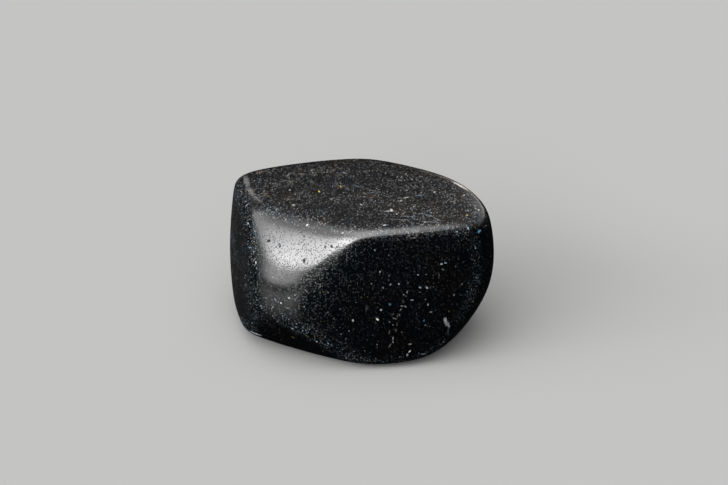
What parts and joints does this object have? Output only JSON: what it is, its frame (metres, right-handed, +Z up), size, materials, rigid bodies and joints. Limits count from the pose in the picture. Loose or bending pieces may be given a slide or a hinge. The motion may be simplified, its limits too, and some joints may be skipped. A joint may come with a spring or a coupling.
{
  "type": "tumbled black onyx stone",
  "caption": "Blocky tumbled black onyx pebble with soft worn edges, a bevelled shoulder at the front left and a flat foot to rest on.",
  "frame": {"origin": "on the surface that the stone rests on, under the middle of its bounding box", "axes": "+Z up, +X along the stone's length with the bevelled shoulder at the -X end, -Y towards the side with the large dark face"},
  "size_m": [0.0272, 0.0212, 0.0157],
  "materials": {
    "polished_black_onyx": "tumbled to a soft polish, with fine pale specks, pinpricks and scuffs"
  },
  "bodies": {
    "root": {"onyx_stone": "polished_black_onyx"}
  },
  "joints": []
}
